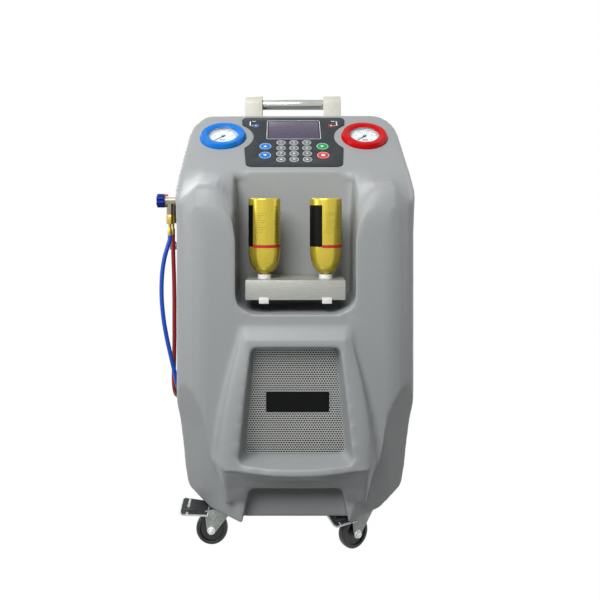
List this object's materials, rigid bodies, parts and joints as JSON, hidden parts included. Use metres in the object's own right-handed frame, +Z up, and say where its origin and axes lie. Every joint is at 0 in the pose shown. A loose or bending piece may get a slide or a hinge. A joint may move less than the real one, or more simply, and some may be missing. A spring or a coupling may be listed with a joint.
{
  "type": "refrigerant recovery machine",
  "caption": "Wheeled refrigerant recovery cabinet with a sloped console, pressure gauges, keypad, oil bottle bay, vent apron, handle, braked casters and service hoses.",
  "frame": {"origin": "on the floor, under the middle of the moulded cover", "axes": "+Z up, +X to the right seen from the front, the front faces -Y"},
  "size_m": [0.654, 0.5699, 1.1305],
  "materials": {
    "cover_plastic": "textured moulded",
    "tray_paint": "satin",
    "handle_plastic": "gloss",
    "handle_chrome": "polished",
    "pad_film": "satin",
    "display": "gloss",
    "key_grey": "satin",
    "key_blue": "satin",
    "key_green": "satin",
    "key_red": "satin",
    "bezel_blue": "gloss",
    "bezel_red": "gloss",
    "gauge_white": "satin",
    "lens": "clear",
    "needle_black": "satin",
    "rack_steel": "brushed",
    "bottle_gold": "gold lacquer",
    "coupler_white": "gloss",
    "screen_zinc": "zinc",
    "caster_zinc": "bright zinc",
    "wheel_black": "satin",
    "pedal_black": "satin",
    "hose_blue": "satin",
    "hose_red": "satin",
    "brass": "turned",
    "coupler_steel": "nickel",
    "knob_blue": "gloss",
    "knob_red": "gloss",
    "hanger_paint": "satin",
    "tank_paint": "gloss",
    "scale_paint": "satin",
    "black_paint": "gloss",
    "pump_paint": "satin",
    "fin_aluminium": "bare",
    "fan_plastic": "matt",
    "board_green": "satin",
    "inlet_plastic": "satin"
  },
  "bodies": {
    "machine": {"base_tray": "tray_paint", "front_cover": "cover_plastic", "rear_panel": "tray_paint", "handle_brackets": "handle_plastic", "handle_tube": "handle_chrome", "keypad_plate": "pad_film", "lcd_window": "display", "gauge_ring_low": "bezel_blue", "gauge_ring_high": "bezel_red", "gauge_cases": "gauge_white", "gauge_lenses": "lens", "bottle_rack": "rack_steel", "bottle_couplers": "coupler_white", "vent_grille": "screen_zinc", "caster_plates": "caster_zinc", "hose_low": "hose_blue", "hose_high": "hose_red", "hose_fittings": "brass", "service_couplers": "coupler_steel", "hose_hanger": "hanger_paint", "refrigerant_tank": "tank_paint", "tank_scale": "scale_paint", "compressor": "black_paint", "vacuum_pump": "pump_paint", "condenser": "fin_aluminium", "control_board": "board_green", "power_inlet": "inlet_plastic"},
    "key_1": {"key_1": "key_grey"},
    "key_2": {"key_2": "key_grey"},
    "key_3": {"key_3": "key_grey"},
    "key_4": {"key_4": "key_grey"},
    "key_5": {"key_5": "key_grey"},
    "key_6": {"key_6": "key_grey"},
    "key_7": {"key_7": "key_grey"},
    "key_8": {"key_8": "key_grey"},
    "key_9": {"key_9": "key_grey"},
    "key_left": {"key_left": "key_grey"},
    "key_0": {"key_0": "key_grey"},
    "key_right": {"key_right": "key_grey"},
    "key_up": {"key_up": "key_blue"},
    "key_down": {"key_down": "key_blue"},
    "key_start": {"key_start": "key_green"},
    "key_stop": {"key_stop": "key_red"},
    "needle_low": {"needle_low": "needle_black"},
    "needle_high": {"needle_high": "needle_black"},
    "oil_bottle_left": {"oil_bottle_left": "bottle_gold"},
    "oil_bottle_right": {"oil_bottle_right": "bottle_gold"},
    "knob_low": {"knob_low": "knob_blue"},
    "knob_high": {"knob_high": "knob_red"},
    "condenser_fan": {"condenser_fan": "fan_plastic"},
    "caster_left": {"fork_left": "caster_zinc"},
    "roller_left": {"wheel_left": "wheel_black"},
    "brake_left": {"pedal_left": "pedal_black"},
    "caster_right": {"fork_right": "caster_zinc"},
    "roller_right": {"wheel_right": "wheel_black"},
    "brake_right": {"pedal_right": "pedal_black"},
    "caster_rear_left": {"fork_rear_left": "caster_zinc"},
    "roller_rear_left": {"wheel_rear_left": "wheel_black"},
    "caster_rear_right": {"fork_rear_right": "caster_zinc"},
    "roller_rear_right": {"wheel_rear_right": "wheel_black"}
  },
  "joints": [
    {"name": "key_1_press", "type": "slide", "parent": "machine", "child": "key_1", "axis": [0, -0.5878, 0.809], "range_m": [-0.0005, 0], "stiffness_N_per_m": 800},
    {"name": "key_2_press", "type": "slide", "parent": "machine", "child": "key_2", "axis": [0, -0.5878, 0.809], "range_m": [-0.0005, 0], "stiffness_N_per_m": 800},
    {"name": "key_3_press", "type": "slide", "parent": "machine", "child": "key_3", "axis": [0, -0.5878, 0.809], "range_m": [-0.0005, 0], "stiffness_N_per_m": 800},
    {"name": "key_4_press", "type": "slide", "parent": "machine", "child": "key_4", "axis": [0, -0.5878, 0.809], "range_m": [-0.0005, 0], "stiffness_N_per_m": 800},
    {"name": "key_5_press", "type": "slide", "parent": "machine", "child": "key_5", "axis": [0, -0.5878, 0.809], "range_m": [-0.0005, 0], "stiffness_N_per_m": 800},
    {"name": "key_6_press", "type": "slide", "parent": "machine", "child": "key_6", "axis": [0, -0.5878, 0.809], "range_m": [-0.0005, 0], "stiffness_N_per_m": 800},
    {"name": "key_7_press", "type": "slide", "parent": "machine", "child": "key_7", "axis": [0, -0.5878, 0.809], "range_m": [-0.0005, 0], "stiffness_N_per_m": 800},
    {"name": "key_8_press", "type": "slide", "parent": "machine", "child": "key_8", "axis": [0, -0.5878, 0.809], "range_m": [-0.0005, 0], "stiffness_N_per_m": 800},
    {"name": "key_9_press", "type": "slide", "parent": "machine", "child": "key_9", "axis": [0, -0.5878, 0.809], "range_m": [-0.0005, 0], "stiffness_N_per_m": 800},
    {"name": "key_left_press", "type": "slide", "parent": "machine", "child": "key_left", "axis": [0, -0.5878, 0.809], "range_m": [-0.0005, 0], "stiffness_N_per_m": 800},
    {"name": "key_0_press", "type": "slide", "parent": "machine", "child": "key_0", "axis": [0, -0.5878, 0.809], "range_m": [-0.0005, 0], "stiffness_N_per_m": 800},
    {"name": "key_right_press", "type": "slide", "parent": "machine", "child": "key_right", "axis": [0, -0.5878, 0.809], "range_m": [-0.0005, 0], "stiffness_N_per_m": 800},
    {"name": "key_up_press", "type": "slide", "parent": "machine", "child": "key_up", "axis": [0, -0.5878, 0.809], "range_m": [-0.0005, 0], "stiffness_N_per_m": 800},
    {"name": "key_down_press", "type": "slide", "parent": "machine", "child": "key_down", "axis": [0, -0.5878, 0.809], "range_m": [-0.0005, 0], "stiffness_N_per_m": 800},
    {"name": "key_start_press", "type": "slide", "parent": "machine", "child": "key_start", "axis": [0, -0.5878, 0.809], "range_m": [-0.0005, 0], "stiffness_N_per_m": 800},
    {"name": "key_stop_press", "type": "slide", "parent": "machine", "child": "key_stop", "axis": [0, -0.5878, 0.809], "range_m": [-0.0005, 0], "stiffness_N_per_m": 800},
    {"name": "needle_low_turn", "type": "hinge", "parent": "machine", "child": "needle_low", "pos_m": [-0.19, 0.0272, 0.98866], "axis": [0, -0.5878, 0.809], "range_deg": [-270, 0]},
    {"name": "needle_high_turn", "type": "hinge", "parent": "machine", "child": "needle_high", "pos_m": [0.19, 0.0272, 0.98866], "axis": [0, -0.5878, 0.809], "range_deg": [-270, 0]},
    {"name": "bottle_left_lift", "type": "slide", "parent": "machine", "child": "oil_bottle_left", "axis": [0, 0, 1], "range_m": [0, 0.06]},
    {"name": "bottle_right_lift", "type": "slide", "parent": "machine", "child": "oil_bottle_right", "axis": [0, 0, 1], "range_m": [0, 0.06]},
    {"name": "knob_low_turn", "type": "hinge", "parent": "machine", "child": "knob_low", "pos_m": [-0.374, 0.065, 0.818], "axis": [-1, 0, 0], "range_deg": [0, 540]},
    {"name": "knob_high_turn", "type": "hinge", "parent": "machine", "child": "knob_high", "pos_m": [-0.374, 0.115, 0.818], "axis": [-1, 0, 0], "range_deg": [0, 540]},
    {"name": "caster_left_swivel", "type": "hinge", "parent": "machine", "child": "caster_left", "pos_m": [-0.165, -0.168, 0.092], "axis": [0, 0, 1], "continuous": true},
    {"name": "wheel_left_spin", "type": "hinge", "parent": "caster_left", "child": "roller_left", "pos_m": [-0.198, -0.168, 0.0375], "axis": [0, 1, 0], "continuous": true},
    {"name": "brake_left_press", "type": "hinge", "parent": "caster_left", "child": "brake_left", "pos_m": [-0.209, -0.168, 0.079], "axis": [0, 1, 0], "range_deg": [-8, 0]},
    {"name": "caster_right_swivel", "type": "hinge", "parent": "machine", "child": "caster_right", "pos_m": [0.165, -0.168, 0.092], "axis": [0, 0, 1], "continuous": true},
    {"name": "wheel_right_spin", "type": "hinge", "parent": "caster_right", "child": "roller_right", "pos_m": [0.13732, -0.18597, 0.0375], "axis": [-0.5446, 0.8387, 0], "continuous": true},
    {"name": "brake_right_press", "type": "hinge", "parent": "caster_right", "child": "brake_right", "pos_m": [0.1281, -0.19196, 0.079], "axis": [-0.5446, 0.8387, 0], "range_deg": [-8, 0]},
    {"name": "caster_rear_left_swivel", "type": "hinge", "parent": "machine", "child": "caster_rear_left", "pos_m": [-0.165, 0.18, 0.092], "axis": [0, 0, 1], "continuous": true},
    {"name": "wheel_rear_left_spin", "type": "hinge", "parent": "caster_rear_left", "child": "roller_rear_left", "pos_m": [-0.165, 0.213, 0.0375], "axis": [1, 0, 0], "continuous": true},
    {"name": "caster_rear_right_swivel", "type": "hinge", "parent": "machine", "child": "caster_rear_right", "pos_m": [0.165, 0.18, 0.092], "axis": [0, 0, 1], "continuous": true},
    {"name": "wheel_rear_right_spin", "type": "hinge", "parent": "caster_rear_right", "child": "roller_rear_right", "pos_m": [0.165, 0.213, 0.0375], "axis": [1, 0, 0], "continuous": true},
    {"name": "fan_spin", "type": "hinge", "parent": "machine", "child": "condenser_fan", "pos_m": [0, -0.168, 0.361], "axis": [0, 1, 0], "continuous": true}
  ]
}
